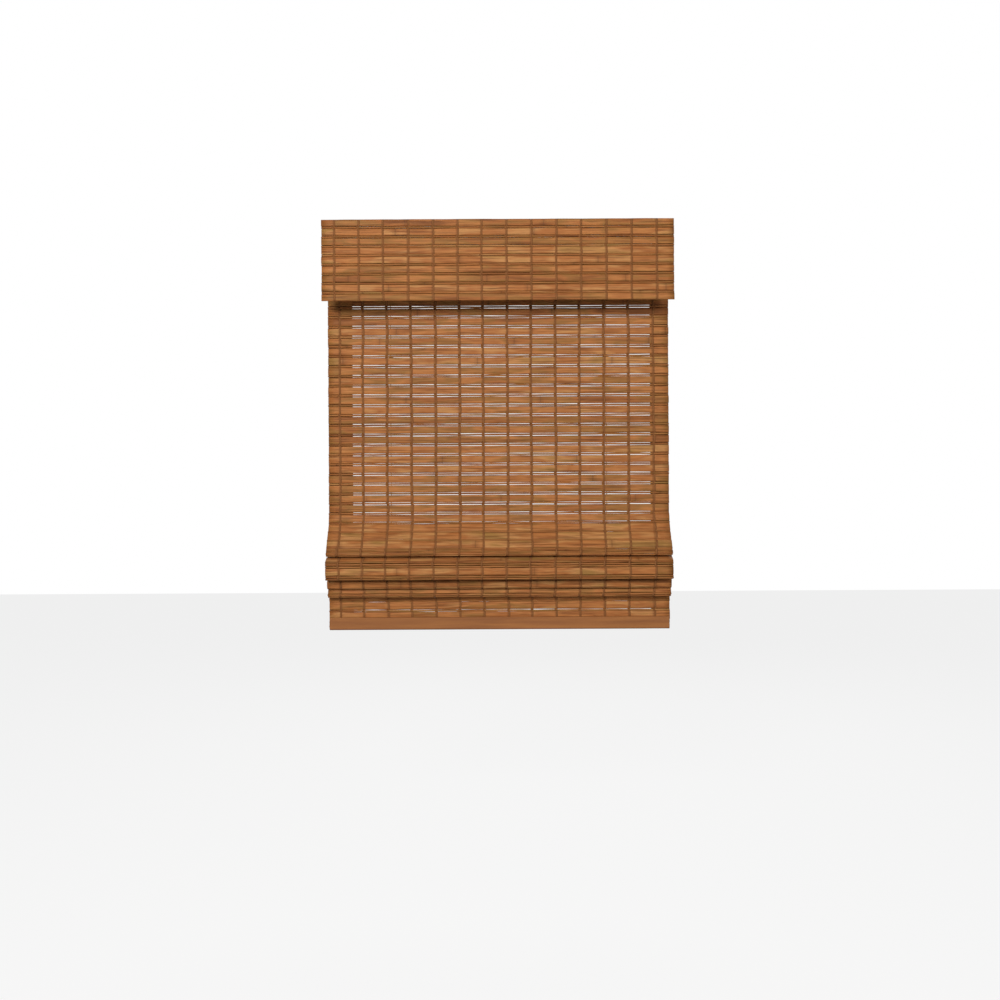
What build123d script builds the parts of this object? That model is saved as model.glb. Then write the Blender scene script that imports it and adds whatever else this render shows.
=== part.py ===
from build123d import *
import os
from math import atan2, cos, degrees, radians, sin

# Woven bamboo roman shade with a spring-lifted, cordless headrail, in millimetres.
# The front faces -Y, +Z is up, and the shade hangs partly raised, with its lower folds gathered.
# The origin is the middle of the four ceiling screws, on the top faces of the two brackets.

os.makedirs("parts", exist_ok=True)

# Overall sizes
mat_width = 683.0
valance_overhang = 1.75
valance_drop = 158.0
rail_inset = 1.5
rail_height = 24.6
rail_bottom = -806.0

# Weave: one slat, a slit, a matchstick and a slit make one repeat of the mat
slat_height = 14.8
slat_thickness = 1.8
stick_diameter = 3.4
slit_height = 0.75
weft_thickness = 0.9
valance_slat_height = 12.8
valance_slit_height = 0.95

# Headrail: a steel channel, open at the top, with lips turned inwards
headrail_depth = 65.0
headrail_height = 38.0
headrail_wall = 1.0
headrail_lip = 6.0
end_cap_thickness = 2.0
end_cap_corner = 2.0
end_cap_plug = 8.0
end_cap_plug_wall = 1.5

# Brackets
bracket_plate = 1.6
bracket_width = 28.0
bracket_inset = 59.5
bracket_screw_spacing = 30.0
bracket_screw_radius = 2.5
bracket_overhang = 2.0
bracket_corner = 3.0
tongue_length = 4.0

# Lift cords, and the rings that keep them to the back of the mat
cord_side_distance = 124.5
cord_diameter = 1.4
cord_inset = 6.0
ring_radius = 6.0
ring_wire_radius = 1.0
fit_gap = 0.3
running_clearance = 0.06

# Mat edges and middle: the slits stop at the tapes and at the middle warp
tape_width = 42.0
tape_inset = 1.0
tape_thickness = 0.6
middle_band = 5.0
stack_depth = 60.0

# Batten, hook tape, valance board and clips
batten_thickness = 9.0
batten_height = 20.0
batten_screw_inset = 39.5
batten_screw_radius = 1.6
batten_screw_length = 14.0
batten_rounding = 1.5
screw_head_height = 2.0
screw_slot = 0.8
hook_tape_height = 16.0
hook_tape_thickness = 1.2
board_thickness = 5.0
board_height = 28.0
board_top = -2.0
clip_inset = 149.5
clip_width = 18.0
clip_thickness = 0.8
clip_lip = 4.0
clip_reach = 8.0

# Spring motor
gear_module = 1.0
gear_pitch_radius = 15.0
gear_centre_gap = 0.2
gear_thickness = 4.0
gear_addendum = 0.85
gear_dedendum = 1.2
gear_tip_share = 0.11
gear_root_share = 0.31
gear_lift = 0.5
tray_wall = 1.4
tray_height = 27.0
tray_corner = 3.0
tray_play = 0.4
drum_play = 1.6
post_radius = 2.5
rim_thickness = 1.2
cord_rim_step = 0.5
spring_rim_step = 4.0
storage_rim_step = 1.5
cord_wrap_radius = 12.7
barrel_cover = 0.6
cord_level = -22.0
cord_layer_height = 8.0
output_barrel_radius = 7.0
output_coil_thickness = 2.2
storage_barrel_radius = 5.5
storage_coil_thickness = 6.5
spring_strip = 0.6

# Cord guides
guide_length = 22.0
guide_rise = 5.0
snout_radius = 3.5
snout_reach = 0.8
roller_radius = 4.3
roller_width = 5.0
roller_pin_radius = 1.5

# Bottom rail
rail_face_thickness = 6.0
rail_rounding = 1.6
back_slat_thickness = 12.0
rail_screw_inset = 60.0
rail_screw_radius = 1.5
rail_screw_end = 0.4
button_radius = 4.0
button_thickness = 3.0
button_rounding = 0.6

# Ring rows: four on the hanging mat, three in the folds' hairpins and one on the lower face
ring_row_pitch = 150.0
first_row_height = -99.0
flat_row_count = 4
last_row_rise = 96.4

# Places that follow from the sizes above
headrail_top = -bracket_plate
headrail_bottom = headrail_top - headrail_height
headrail_length = mat_width - 2 * end_cap_thickness
valance_width = mat_width + 2 * valance_overhang
rail_width = mat_width - 2 * rail_inset
bracket_spacing = headrail_length - 2 * bracket_inset
cord_spacing = mat_width - 2 * cord_side_distance
last_row_height = rail_bottom + last_row_rise
batten_screw_end = headrail_length / 2 - batten_screw_inset
batten_screw_x = [share * batten_screw_end for share in (-1, -1 / 3, 1 / 3, 1)]
clip_end = headrail_length / 2 - clip_inset
clip_x = [-clip_end, 0, clip_end]
rail_screw_end_x = rail_width / 2 - rail_screw_inset
rail_screw_x = [share * rail_screw_end_x for share in (-1, -1 / 3, 1 / 3, 1)]
headrail_floor = headrail_bottom + headrail_wall
cord_y = headrail_depth / 2 - cord_inset
cord_x = cord_spacing / 2
stick_radius = stick_diameter / 2
mat_depth = ring_radius + fit_gap + stick_radius
mat_y = cord_y - mat_depth
repeat_height = slat_height + stick_diameter + 2 * slit_height
valance_repeat = valance_slat_height + stick_diameter + 2 * valance_slit_height
rail_top = rail_bottom + rail_height
batten_y = mat_y - stick_radius - hook_tape_thickness - batten_thickness / 2

all_parts = []


def finish(part, name):
    part.label = name
    export_step(part, f"parts/{name}.step")
    all_parts.append(part)


def at_depth(depth, height):
    """A point of the section, at a distance in front of the lift cords."""
    return (cord_y - depth, height)


# Section of the mat below its head, as (distance in front of the cords, height above the foot, bend radius)
mat_top = headrail_bottom - 1.0
fold_bends = [
    (mat_depth, 222.0, 45.0),
    (17.5, 202.0, 30.0),
    (52.0, 147.5, 4.0),
    (mat_depth, 158.0, 3.0),
    (mat_depth, 151.0, 3.0),
    (54.0, 142.5, 7.0),
    (54.5, 103.7, 3.4),
    (47.5, 103.7, 3.4),
    (45.5, 135.0, 6.0),
    (mat_depth, 145.3, 2.8),
    (mat_depth, 139.0, 2.8),
    (34.0, 130.5, 6.0),
    (33.5, 84.7, 3.4),
    (26.5, 84.7, 3.4),
    (26.5, 123.5, 5.0),
    (mat_depth, 133.7, 2.6),
    (mat_depth, 127.0, 2.6),
    (20.5, 120.0, 4.0),
    (20.5, 85.0, 8.0),
    (26.0, 78.0, 8.0),
    (26.0, 67.2, 3.4),
    (19.0, 67.2, 3.4),
    (14.8, 88.0, 12.0),
    (14.8, 114.0, 3.5),
    (mat_depth, 121.5, 3.0),
    (mat_depth, 1.0, 0),
]
mat_bends = [(mat_depth, mat_top, 0)] + [(depth, rail_bottom + rise, radius) for depth, rise, radius in fold_bends]


def section_line(bends):
    """The middle line of a cloth section, as straight runs joined by bends."""
    points = [at_depth(depth, height) for depth, height, radius in bends]
    radii = [radius for depth, height, radius in bends[1:-1]]
    return FilletPolyline(*points, radius=radii)


def run_places(run, piece, joint, lead=None):
    """Places of the slats along one straight run, and of the matchsticks between them."""
    count = int((run.length - (lead or 0) + joint) // (piece + joint))
    slats, sticks = [], []
    heading = run.tangent_at(0.5)
    turn = degrees(atan2(heading.Y, heading.X))
    if lead is None:
        lead = (run.length - count * piece - (count - 1) * joint) / 2
    for number in range(count):
        middle = lead + number * (piece + joint) + piece / 2
        place = run.position_at(middle / run.length)
        slats.append(Location((place.X, place.Y, 0), (0, 0, turn)))
        if number:
            between = run.position_at((middle - (piece + joint) / 2) / run.length)
            sticks.append((between.X, between.Y))
    return slats, sticks


with BuildLine() as mat_line:
    section_line(mat_bends)

# The folds turn back to the cords at hairpins: each has a matchstick, and a ring is tied to it
mat_joint = repeat_height - slat_height
mat_runs = mat_line.edges().filter_by(GeomType.LINE)
hairpins = mat_runs.filter_by(lambda run: run.length < stick_diameter and abs(run.center().X - mat_y) < 0.01)
lower_run = mat_runs.sort_by(Axis.Y)[0]
lower_lead = (lower_run.position_at(0).Y - last_row_height + mat_joint / 2) % repeat_height

mat_slats, mat_sticks = [], []
for run in mat_runs:
    lead = lower_lead if run == lower_run else None
    slats, sticks = run_places(run, slat_height, mat_joint, lead)
    mat_slats += slats
    mat_sticks += sticks
for bend in mat_line.edges().filter_by(GeomType.CIRCLE):
    if bend.length > stick_diameter and bend.radius > ring_wire_radius + stick_diameter / 2 + fit_gap:
        mat_sticks.append((bend.position_at(0.5).X, bend.position_at(0.5).Y))
mat_sticks += [(run.center().X, run.center().Y) for run in hairpins]

# Shade mat: one woven wall with a ridge for every slat and matchstick, hanging and then folded
hanging_run = mat_runs.sort_by(SortBy.LENGTH)[-1]
hanging_sticks = run_places(hanging_run, slat_height, mat_joint)[1]
slit_length = mat_width / 2 - tape_width - middle_band / 2
slit_middle = middle_band / 2 + slit_length / 2
slit_offset = (stick_diameter + slit_height) / 2
rail_middle = rail_bottom + rail_height / 2

with BuildPart() as shade_mat:
    with BuildSketch(Plane.YZ) as mat_section:
        add(Face(mat_line.wire().offset_2d(weft_thickness / 2, side=Side.BOTH)))
        with Locations(*mat_slats):
            Rectangle(slat_height, slat_thickness)
        with Locations(*mat_sticks):
            Circle(stick_radius)
    extrude(amount=mat_width / 2, both=True)
    with BuildSketch(Plane.XZ.offset(-mat_y)) as slits:
        for stick in hanging_sticks:
            with Locations(
                (-slit_middle, stick[1] - slit_offset),
                (-slit_middle, stick[1] + slit_offset),
                (slit_middle, stick[1] - slit_offset),
                (slit_middle, stick[1] + slit_offset),
            ):
                Rectangle(slit_length, slit_height)
    extrude(amount=slat_thickness, both=True, mode=Mode.SUBTRACT)
    with BuildSketch(Plane.XZ.offset(-mat_y)) as mat_screw_holes:
        with Locations(*[(x, rail_middle) for x in rail_screw_x]):
            Circle(rail_screw_radius + fit_gap)
    extrude(amount=stick_diameter, both=True, mode=Mode.SUBTRACT)
finish(shade_mat.part, "shade_mat")

# Edge tapes: cloth strips glued behind the two side edges, following every fold
tape_lift = stick_radius + tape_thickness / 2
with BuildLine() as tape_line:
    add(mat_line.wire().offset_2d(tape_lift, side=Side.LEFT, closed=False))
for side, name in ((-1, "left_edge_tape"), (1, "right_edge_tape")):
    with BuildPart() as edge_tape:
        with BuildSketch(Plane.YZ.offset(side * (mat_width / 2 - tape_width))):
            add(Face(tape_line.wire().offset_2d(tape_thickness / 2, side=Side.BOTH)))
            with BuildSketch(mode=Mode.INTERSECT):
                with Locations((cord_y, (mat_top + rail_top) / 2)):
                    Rectangle(2 * stack_depth, mat_top - rail_top)
        extrude(amount=side * (tape_width - tape_inset))
    finish(edge_tape.part, name)

# Headrail: channel with inward lips, cord holes and screw holes in its floor
half_depth = headrail_depth / 2
with BuildPart() as headrail:
    with BuildSketch(Plane.YZ) as channel_section:
        with BuildLine():
            Polyline(
                (-half_depth + headrail_lip, headrail_top),
                (-half_depth, headrail_top),
                (-half_depth, headrail_bottom),
                (half_depth, headrail_bottom),
                (half_depth, headrail_top),
                (half_depth - headrail_lip, headrail_top),
                (half_depth - headrail_lip, headrail_top - headrail_wall),
                (half_depth - headrail_wall, headrail_top - headrail_wall),
                (half_depth - headrail_wall, headrail_floor),
                (-half_depth + headrail_wall, headrail_floor),
                (-half_depth + headrail_wall, headrail_top - headrail_wall),
                (-half_depth + headrail_lip, headrail_top - headrail_wall),
                close=True,
            )
        make_face()
        channel_corners = channel_section.vertices()
        fillet(channel_corners.filter_by(lambda corner: abs(corner.X) > half_depth - 0.1), 0.9)
    extrude(amount=headrail_length / 2, both=True)
    with BuildSketch(Plane.XY.offset(headrail_bottom)) as floor_holes:
        with Locations((-cord_x, cord_y), (cord_x, cord_y)):
            Circle(snout_radius + fit_gap / 3)
        with Locations(*[(x, batten_y) for x in batten_screw_x]):
            Circle(batten_screw_radius + fit_gap / 3)
    extrude(amount=headrail_wall, mode=Mode.SUBTRACT)
finish(headrail.part, "headrail")

# End caps: a face plate with a hollow plug that slides into the channel
for side, name in ((-1, "left_end_cap"), (1, "right_end_cap")):
    with BuildPart() as end_cap:
        with BuildSketch(Plane.YZ.offset(side * headrail_length / 2)):
            with Locations((0, (headrail_top + headrail_bottom) / 2)):
                RectangleRounded(headrail_depth, headrail_height, end_cap_corner)
        extrude(amount=side * end_cap_thickness)
        inner_depth = headrail_depth - 2 * headrail_wall - fit_gap
        inner_height = headrail_height - 2 * headrail_wall - fit_gap
        with BuildSketch(Plane.YZ.offset(side * headrail_length / 2)):
            with Locations((0, (headrail_top + headrail_bottom) / 2)):
                Rectangle(inner_depth, inner_height)
                Rectangle(
                    inner_depth - 2 * end_cap_plug_wall,
                    inner_height - 2 * end_cap_plug_wall,
                    mode=Mode.SUBTRACT,
                )
        extrude(amount=-side * end_cap_plug)
    finish(end_cap.part, name)

# Brackets: a ceiling plate whose two hooks grip the headrail lips from inside
hook_web = half_depth - headrail_lip - bracket_plate / 2 - fit_gap
tongue_top = headrail_top - headrail_wall
for side, name in ((-1, "left_bracket"), (1, "right_bracket")):
    with BuildPart() as bracket:
        with BuildSketch(Plane.YZ.offset(side * bracket_spacing / 2)):
            with Locations((0, -bracket_plate / 2)):
                Rectangle(headrail_depth + 2 * bracket_overhang, bracket_plate)
            for hook_side in (-1, 1):
                with Locations((hook_side * hook_web, (tongue_top - 2 * bracket_plate) / 2)):
                    Rectangle(bracket_plate, -(tongue_top - 2 * bracket_plate))
                tongue_middle = hook_side * (hook_web + tongue_length / 2)
                with Locations((tongue_middle, tongue_top - bracket_plate / 2)):
                    Rectangle(tongue_length, bracket_plate)
        extrude(amount=bracket_width / 2, both=True)
        with Locations(
            (side * bracket_spacing / 2, -bracket_screw_spacing / 2, 0),
            (side * bracket_spacing / 2, bracket_screw_spacing / 2, 0),
        ):
            Hole(bracket_screw_radius, depth=bracket_plate)
        upright_edges = bracket.edges().filter_by(Axis.Z)
        plate_end = half_depth + bracket_overhang / 2
        fillet(upright_edges.filter_by(lambda edge: abs(edge.center().Y) > plate_end), bracket_corner)
    finish(bracket.part, name)

# Mat batten: the wooden strip under the headrail that the mat hangs from
with BuildPart() as mat_batten:
    with BuildSketch(Plane.XY.offset(headrail_bottom)):
        with Locations((0, batten_y)):
            Rectangle(headrail_length, batten_thickness)
    extrude(amount=-batten_height)
    with Locations(*[(x, batten_y, headrail_bottom) for x in batten_screw_x]):
        Hole(batten_screw_radius, depth=batten_screw_length)
    lower_edges = mat_batten.edges().filter_by(Axis.X).group_by(Axis.Z)[0]
    fillet(lower_edges, batten_rounding)
finish(mat_batten.part, "mat_batten")

with BuildPart() as batten_screws:
    for x in batten_screw_x:
        with BuildSketch(Plane.XY.offset(headrail_floor)):
            with Locations((x, batten_y)):
                Circle(2 * batten_screw_radius)
        extrude(amount=screw_head_height)
        with BuildSketch(Plane.XY.offset(headrail_floor)):
            with Locations((x, batten_y)):
                Circle(batten_screw_radius - running_clearance)
        extrude(amount=-batten_screw_length + 0.5)
    with BuildSketch(Plane.XY.offset(headrail_floor + screw_head_height)):
        with Locations(*[(x, batten_y) for x in batten_screw_x]):
            Rectangle(3 * screw_slot, screw_slot)
            Rectangle(screw_slot, 3 * screw_slot)
    extrude(amount=-screw_head_height / 2, mode=Mode.SUBTRACT)
finish(batten_screws.part, "batten_screws")

# Hook tape between the batten and the head of the mat
with BuildPart() as mat_hook_tape:
    with BuildSketch(Plane.XZ.offset(-(mat_y - stick_radius))):
        with Locations((0, mat_top - hook_tape_height / 2)):
            Rectangle(rail_width - 2 * tape_width, hook_tape_height)
    extrude(amount=hook_tape_thickness)
finish(mat_hook_tape.part, "mat_hook_tape")

# Valance: a board held in spring clips on the headrail front, and a short woven mat in front of it
clip_y = -half_depth - clip_thickness / 2
board_back = -half_depth - clip_thickness
board_front = board_back - board_thickness
board_middle = (board_back + board_front) / 2
hook_front = board_front - clip_thickness / 2
with BuildPart() as valance_board:
    with BuildSketch(Plane.YZ):
        with Locations((board_middle, board_top - board_height / 2)):
            RectangleRounded(board_thickness, board_height, 1.2)
    extrude(amount=headrail_length / 2, both=True)
finish(valance_board.part, "valance_board")

with BuildPart() as valance_clips:
    for x in clip_x:
        with BuildSketch(Plane.YZ.offset(x)):
            with BuildLine() as clip_line:
                FilletPolyline(
                    (-half_depth + clip_reach, headrail_top + clip_thickness / 2),
                    (clip_y, headrail_top + clip_thickness / 2),
                    (clip_y, board_top - board_height - clip_thickness / 2),
                    (hook_front, board_top - board_height - clip_thickness / 2),
                    (hook_front, board_top - board_height + clip_lip),
                    radius=clip_thickness * 0.6,
                )
            add(Face(clip_line.wire().offset_2d(clip_thickness / 2, side=Side.BOTH)))
        extrude(amount=clip_width / 2, both=True)
finish(valance_clips.part, "valance_clips")

valance_back = board_front - hook_tape_thickness
with BuildPart() as valance_hook_tape:
    with BuildSketch(Plane.XZ.offset(-board_front)):
        with Locations((0, board_top - hook_tape_height / 2 - 2.0)):
            Rectangle(headrail_length - 2 * tape_inset, hook_tape_height)
    extrude(amount=hook_tape_thickness)
finish(valance_hook_tape.part, "valance_hook_tape")

valance_y = valance_back - stick_radius
with BuildLine() as valance_line:
    Line((valance_y, 0), (valance_y, -valance_drop))
valance_slats, valance_sticks = run_places(
    valance_line.edges()[0], valance_slat_height, valance_repeat - valance_slat_height
)
with BuildPart() as valance_mat:
    with BuildSketch(Plane.YZ):
        with Locations((valance_y, -valance_drop / 2)):
            Rectangle(weft_thickness, valance_drop)
        with Locations(*valance_slats):
            Rectangle(valance_slat_height, slat_thickness)
        with Locations(*valance_sticks):
            Circle(stick_radius)
    extrude(amount=valance_width / 2, both=True)
finish(valance_mat.part, "valance_mat")

# Edge tapes of the valance, glued behind its two side edges below the board
with BuildPart() as valance_edge_tapes:
    with BuildSketch(Plane.XZ.offset(-(valance_y + stick_radius + tape_thickness))):
        tape_drop = valance_drop - board_height - 2.0
        with Locations(
            (-(valance_width - tape_width) / 2 + tape_inset, -valance_drop + tape_drop / 2),
            ((valance_width - tape_width) / 2 - tape_inset, -valance_drop + tape_drop / 2),
        ):
            Rectangle(tape_width - tape_inset, tape_drop)
    extrude(amount=tape_thickness)
finish(valance_edge_tapes.part, "valance_edge_tapes")

# Spring motor: a tray of four meshed drums whose flat spring balances the shade
drum_y = cord_y - cord_wrap_radius
drum_pitch = 2 * gear_pitch_radius + gear_centre_gap
drum_x = [(number - 1.5) * drum_pitch for number in range(4)]
gear_outer = gear_pitch_radius + gear_module * gear_addendum
gear_root = gear_pitch_radius - gear_module * gear_dedendum
tray_floor = headrail_floor + tray_wall
gear_bottom = tray_floor + gear_lift
gear_top = gear_bottom + gear_thickness
tray_top = headrail_floor + tray_height
tray_length = drum_x[3] - drum_x[0] + 2 * (gear_outer + tray_play + tray_wall)
tray_depth = 2 * (gear_outer + tray_play + tray_wall)
drum_top = tray_top - drum_play

with BuildPart() as motor_tray:
    with BuildSketch(Plane.XY.offset(headrail_floor)):
        with Locations((0, drum_y)):
            RectangleRounded(tray_length, tray_depth, tray_corner)
    extrude(amount=tray_height)
    with BuildSketch(Plane.XY.offset(tray_floor)):
        with Locations((0, drum_y)):
            RectangleRounded(
                tray_length - 2 * tray_wall, tray_depth - 2 * tray_wall, tray_corner - tray_wall
            )
    extrude(amount=tray_height, mode=Mode.SUBTRACT)
    with BuildSketch(Plane.XY.offset(tray_floor)):
        with Locations(*[(x, drum_y) for x in drum_x]):
            Circle(post_radius)
    extrude(amount=drum_top - tray_floor - gear_lift)
    with BuildSketch(Plane.YZ):
        with Locations((cord_y, cord_level)):
            Circle(cord_diameter * 1.5)
    extrude(amount=tray_length, both=True, mode=Mode.SUBTRACT)
finish(motor_tray.part, "motor_tray")

with BuildPart() as motor_cover:
    with BuildSketch(Plane.XY.offset(tray_top)):
        with Locations((0, drum_y)):
            RectangleRounded(tray_length, tray_depth, tray_corner)
        with Locations(*[(x, drum_y) for x in drum_x]):
            Circle(gear_pitch_radius * 0.6, mode=Mode.SUBTRACT)
    extrude(amount=tray_wall)
    fillet(motor_cover.edges().group_by(Axis.Z)[-1].sort_by(SortBy.LENGTH)[-2:], 0.5)
finish(motor_cover.part, "motor_cover")


def gear_outline(teeth, phase):
    """The outline of one spur gear, as a closed ring of tooth corners."""
    pitch_angle = 360 / teeth
    corners = []
    for tooth in range(teeth):
        middle = phase + tooth * pitch_angle
        for radius, share in (
            (gear_root, -gear_root_share),
            (gear_outer, -gear_tip_share),
            (gear_outer, gear_tip_share),
            (gear_root, gear_root_share),
        ):
            angle = radians(middle + share * pitch_angle)
            corners.append((radius * cos(angle), radius * sin(angle)))
    return corners


gear_teeth = round(2 * gear_pitch_radius / gear_module)
half_tooth = 180 / gear_teeth
barrel_radius = cord_wrap_radius - cord_diameter / 2 - barrel_cover - fit_gap
storage_bottom = gear_top + fit_gap
cord_rim = gear_pitch_radius - cord_rim_step
spring_rim = gear_pitch_radius - spring_rim_step
storage_rim = gear_pitch_radius - storage_rim_step

# Each drum as (name, post, tooth phase or None, barrel radius or None, rim radius, barrel foot)
drums = [
    ("left_cord_drum", drum_x[0], 0, barrel_radius, cord_rim, gear_top),
    ("spring_drum", drum_x[1], half_tooth, output_barrel_radius, spring_rim, gear_top),
    ("idler_gear", drum_x[2], 0, None, None, None),
    ("storage_drum", drum_x[2], None, storage_barrel_radius, storage_rim, storage_bottom),
    ("right_cord_drum", drum_x[3], half_tooth, barrel_radius, cord_rim, gear_top),
]
for name, x, phase, barrel, rim, foot in drums:
    with BuildPart() as drum:
        if phase is not None:
            with BuildSketch(Plane.XY.offset(gear_bottom)):
                with Locations((x, drum_y)):
                    Polygon(*gear_outline(gear_teeth, phase), align=None)
            extrude(amount=gear_thickness)
        if barrel is not None:
            with BuildSketch(Plane.XY.offset(foot)):
                with Locations((x, drum_y)):
                    Circle(barrel)
            extrude(amount=drum_top - foot)
            with BuildSketch(Plane.XY.offset(drum_top - rim_thickness)):
                with Locations((x, drum_y)):
                    Circle(rim)
            extrude(amount=rim_thickness)
        with Locations((x, drum_y, drum_top)):
            Hole(post_radius + running_clearance)
    finish(drum.part, name)

# Flat spring: wound on the storage drum, crossing to a few turns on the spring drum
spring_bottom = storage_bottom + fit_gap
output_coil = output_barrel_radius + fit_gap + output_coil_thickness
storage_coil = storage_barrel_radius + fit_gap + storage_coil_thickness
with BuildPart() as power_spring:
    with BuildSketch(Plane.XY.offset(spring_bottom)):
        with BuildLine() as strip:
            Line(
                (drum_x[1], drum_y - output_coil + spring_strip / 2),
                (drum_x[2], drum_y - storage_coil + spring_strip / 2),
            )
        add(Face(strip.wire().offset_2d(spring_strip / 2, side=Side.BOTH)))
        with Locations((drum_x[1], drum_y)):
            Circle(output_coil)
            Circle(output_barrel_radius + fit_gap, mode=Mode.SUBTRACT)
        with Locations((drum_x[2], drum_y)):
            Circle(storage_coil)
            Circle(storage_barrel_radius + fit_gap, mode=Mode.SUBTRACT)
    extrude(amount=drum_top - rim_thickness - fit_gap - spring_bottom)
finish(power_spring.part, "power_spring")

# Cord guides: a block on the headrail floor with a roller that turns the cord downwards
roller_cord_radius = roller_radius + cord_diameter / 2
roller_level = cord_level - roller_cord_radius
block_depth = 2 * (half_depth - headrail_wall - cord_y)
for side, name in ((-1, "left"), (1, "right")):
    roller_x = side * (cord_x - roller_cord_radius)
    with BuildPart() as cord_guide:
        with BuildSketch(Plane.XY.offset(headrail_floor)):
            with Locations((roller_x, cord_y)):
                Rectangle(guide_length, block_depth)
        extrude(amount=roller_level - headrail_floor + guide_rise)
        with BuildSketch(Plane.XY.offset(headrail_floor + tray_wall)):
            with Locations((roller_x, cord_y)):
                Rectangle(guide_length, roller_width + 2 * fit_gap)
        extrude(amount=headrail_height, mode=Mode.SUBTRACT)
        with BuildSketch(Plane.XY.offset(headrail_floor)):
            with Locations((side * cord_x, cord_y)):
                Circle(snout_radius)
        extrude(amount=-headrail_wall - snout_reach)
        with Locations((side * cord_x, cord_y, headrail_floor + tray_wall)):
            Hole(cord_diameter)
        with BuildSketch(Plane.XZ.offset(-cord_y)):
            with Locations((roller_x, roller_level)):
                Circle(roller_pin_radius)
        extrude(amount=block_depth / 2, both=True)
    finish(cord_guide.part, f"{name}_cord_guide")

    with BuildPart() as guide_roller:
        with BuildSketch(Plane.XZ.offset(-cord_y)):
            with Locations((roller_x, roller_level)):
                Circle(roller_radius + cord_diameter)
        extrude(amount=roller_width / 2, both=True)
        groove_radius = cord_diameter / 2 + running_clearance
        groove_plane = Plane((roller_x, cord_y, roller_level))
        with BuildSketch(groove_plane):
            with Locations((roller_cord_radius, 0)):
                Circle(groove_radius)
            with Locations((roller_cord_radius + cord_diameter / 2, 0)):
                Rectangle(cord_diameter, 2 * groove_radius)
        revolve(axis=Axis((roller_x, cord_y, roller_level), (0, 1, 0)), mode=Mode.SUBTRACT)
        with BuildSketch(Plane.XZ.offset(-cord_y)):
            with Locations((roller_x, roller_level)):
                Circle(roller_pin_radius + running_clearance)
        extrude(amount=roller_width, both=True, mode=Mode.SUBTRACT)
    finish(guide_roller.part, f"{name}_guide_roller")

# Lift cords: a wound layer on the drum, a straight run along the headrail, and the drop to the rail
cord_end = rail_bottom + button_thickness
for side, x, name in ((-1, drum_x[0], "left_lift_cord"), (1, drum_x[3], "right_lift_cord")):
    with BuildPart() as lift_cord:
        with BuildLine() as cord_line:
            FilletPolyline(
                (x, cord_y, cord_level),
                (side * cord_x, cord_y, cord_level),
                (side * cord_x, cord_y, cord_end),
                radius=roller_cord_radius,
            )
        with BuildSketch(Plane.YZ.offset(x)):
            with Locations((cord_y, cord_level)):
                Circle(cord_diameter / 2)
        sweep(path=cord_line.wire())
        with BuildSketch(Plane.XY.offset(cord_level - cord_layer_height / 2)):
            with Locations((x, drum_y)):
                Circle(cord_wrap_radius + cord_diameter / 2)
                Circle(barrel_radius + fit_gap, mode=Mode.SUBTRACT)
        extrude(amount=cord_layer_height)
    finish(lift_cord.part, name)

# Ring rows: one ring for each cord, tied behind the matchstick nearest to its place
ring_rows = []
for number in range(flat_row_count):
    wanted = first_row_height - number * ring_row_pitch
    ring_rows.append(min([stick[1] for stick in hanging_sticks], key=lambda height: abs(height - wanted)))
ring_rows += [run.center().Y for run in hairpins.sort_by(Axis.Y, reverse=True)] + [last_row_height]
for number, height in enumerate(ring_rows, start=1):
    with BuildPart() as ring_row:
        with Locations((-cord_x, cord_y, height), (cord_x, cord_y, height)):
            Torus(ring_radius - ring_wire_radius, ring_wire_radius)
    finish(ring_row.part, f"ring_row_{number}")

# Bottom rail: a wooden face slat and a back slat that clamp the foot of the mat
rail_face_back = mat_y - stick_radius
rail_back_front = mat_y + stick_radius
with BuildPart() as bottom_rail:
    with BuildSketch(Plane.YZ):
        with Locations((rail_face_back - rail_face_thickness / 2, rail_middle)):
            Rectangle(rail_face_thickness, rail_height)
    extrude(amount=rail_width / 2, both=True)
    front_edges = bottom_rail.edges().filter_by(Axis.X).group_by(Axis.Y)[0]
    fillet(front_edges, rail_rounding)
    end_edges = bottom_rail.edges().filter_by(Axis.Z).group_by(Axis.Y)[0]
    fillet(end_edges, rail_rounding / 2)
    with BuildSketch(Plane.XZ.offset(-rail_face_back)):
        with Locations(*[(x, rail_middle) for x in rail_screw_x]):
            Circle(rail_screw_radius)
    extrude(amount=rail_face_thickness / 2, mode=Mode.SUBTRACT)
finish(bottom_rail.part, "bottom_rail")

back_slat_back = rail_back_front + back_slat_thickness
with BuildPart() as rail_back_slat:
    with BuildSketch(Plane.YZ):
        with Locations((rail_back_front + back_slat_thickness / 2, rail_middle)):
            Rectangle(back_slat_thickness, rail_height)
    extrude(amount=rail_width / 2, both=True)
    back_edges = rail_back_slat.edges().filter_by(Axis.X).group_by(Axis.Y)[-1]
    fillet(back_edges, rail_rounding)
    with BuildSketch(Plane.XY.offset(rail_bottom)):
        with Locations((-cord_x, cord_y), (cord_x, cord_y)):
            Circle(cord_diameter)
    extrude(amount=rail_height, mode=Mode.SUBTRACT)
    with BuildSketch(Plane.XY.offset(rail_bottom)):
        with Locations((-cord_x, cord_y), (cord_x, cord_y)):
            Circle(button_radius)
    extrude(amount=button_thickness, mode=Mode.SUBTRACT)
    with Locations(
        *[
            Location(Plane((x, back_slat_back, rail_middle), (1, 0, 0), (0, 1, 0)))
            for x in rail_screw_x
        ]
    ):
        CounterSinkHole(rail_screw_radius + fit_gap / 2, 2 * rail_screw_radius + fit_gap / 2)
finish(rail_back_slat.part, "rail_back_slat")

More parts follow.
